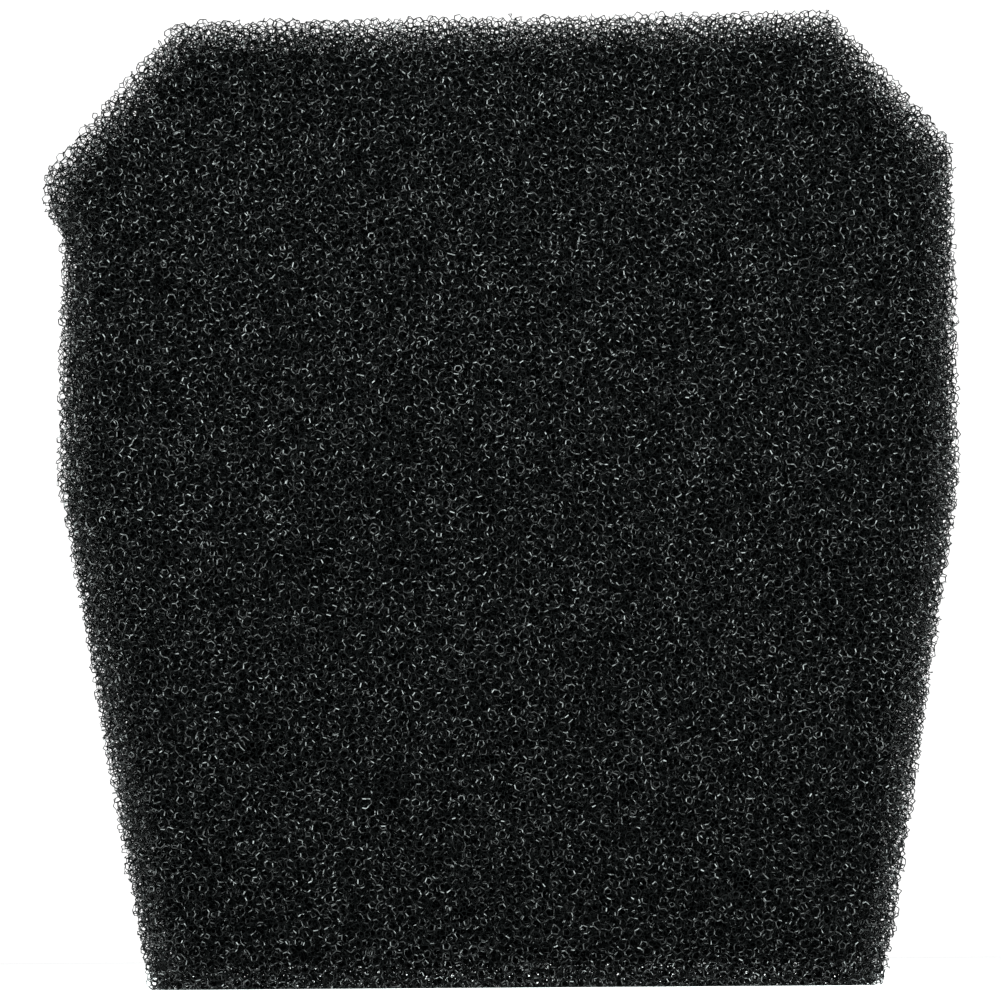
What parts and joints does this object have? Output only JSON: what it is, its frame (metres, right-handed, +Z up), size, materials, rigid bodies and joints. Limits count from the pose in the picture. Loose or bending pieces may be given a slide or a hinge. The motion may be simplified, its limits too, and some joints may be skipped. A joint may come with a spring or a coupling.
{
  "type": "sponge filter pad",
  "caption": "Flat slab of coarse black open-cell filter foam, cut to a tapered plan with chamfered shoulders, to fill a filter chamber.",
  "frame": {"origin": "middle of the underside of the pad's box, on the surface that the bottom edge stands on", "axes": "+X along the width, +Y from the front face to the back face through the thickness, +Z up the height"},
  "size_m": [0.175, 0.025, 0.1866],
  "materials": {
    "foam": "matt, open-cell"
  },
  "bodies": {
    "root": {"foam_pad": "foam"}
  },
  "joints": []
}
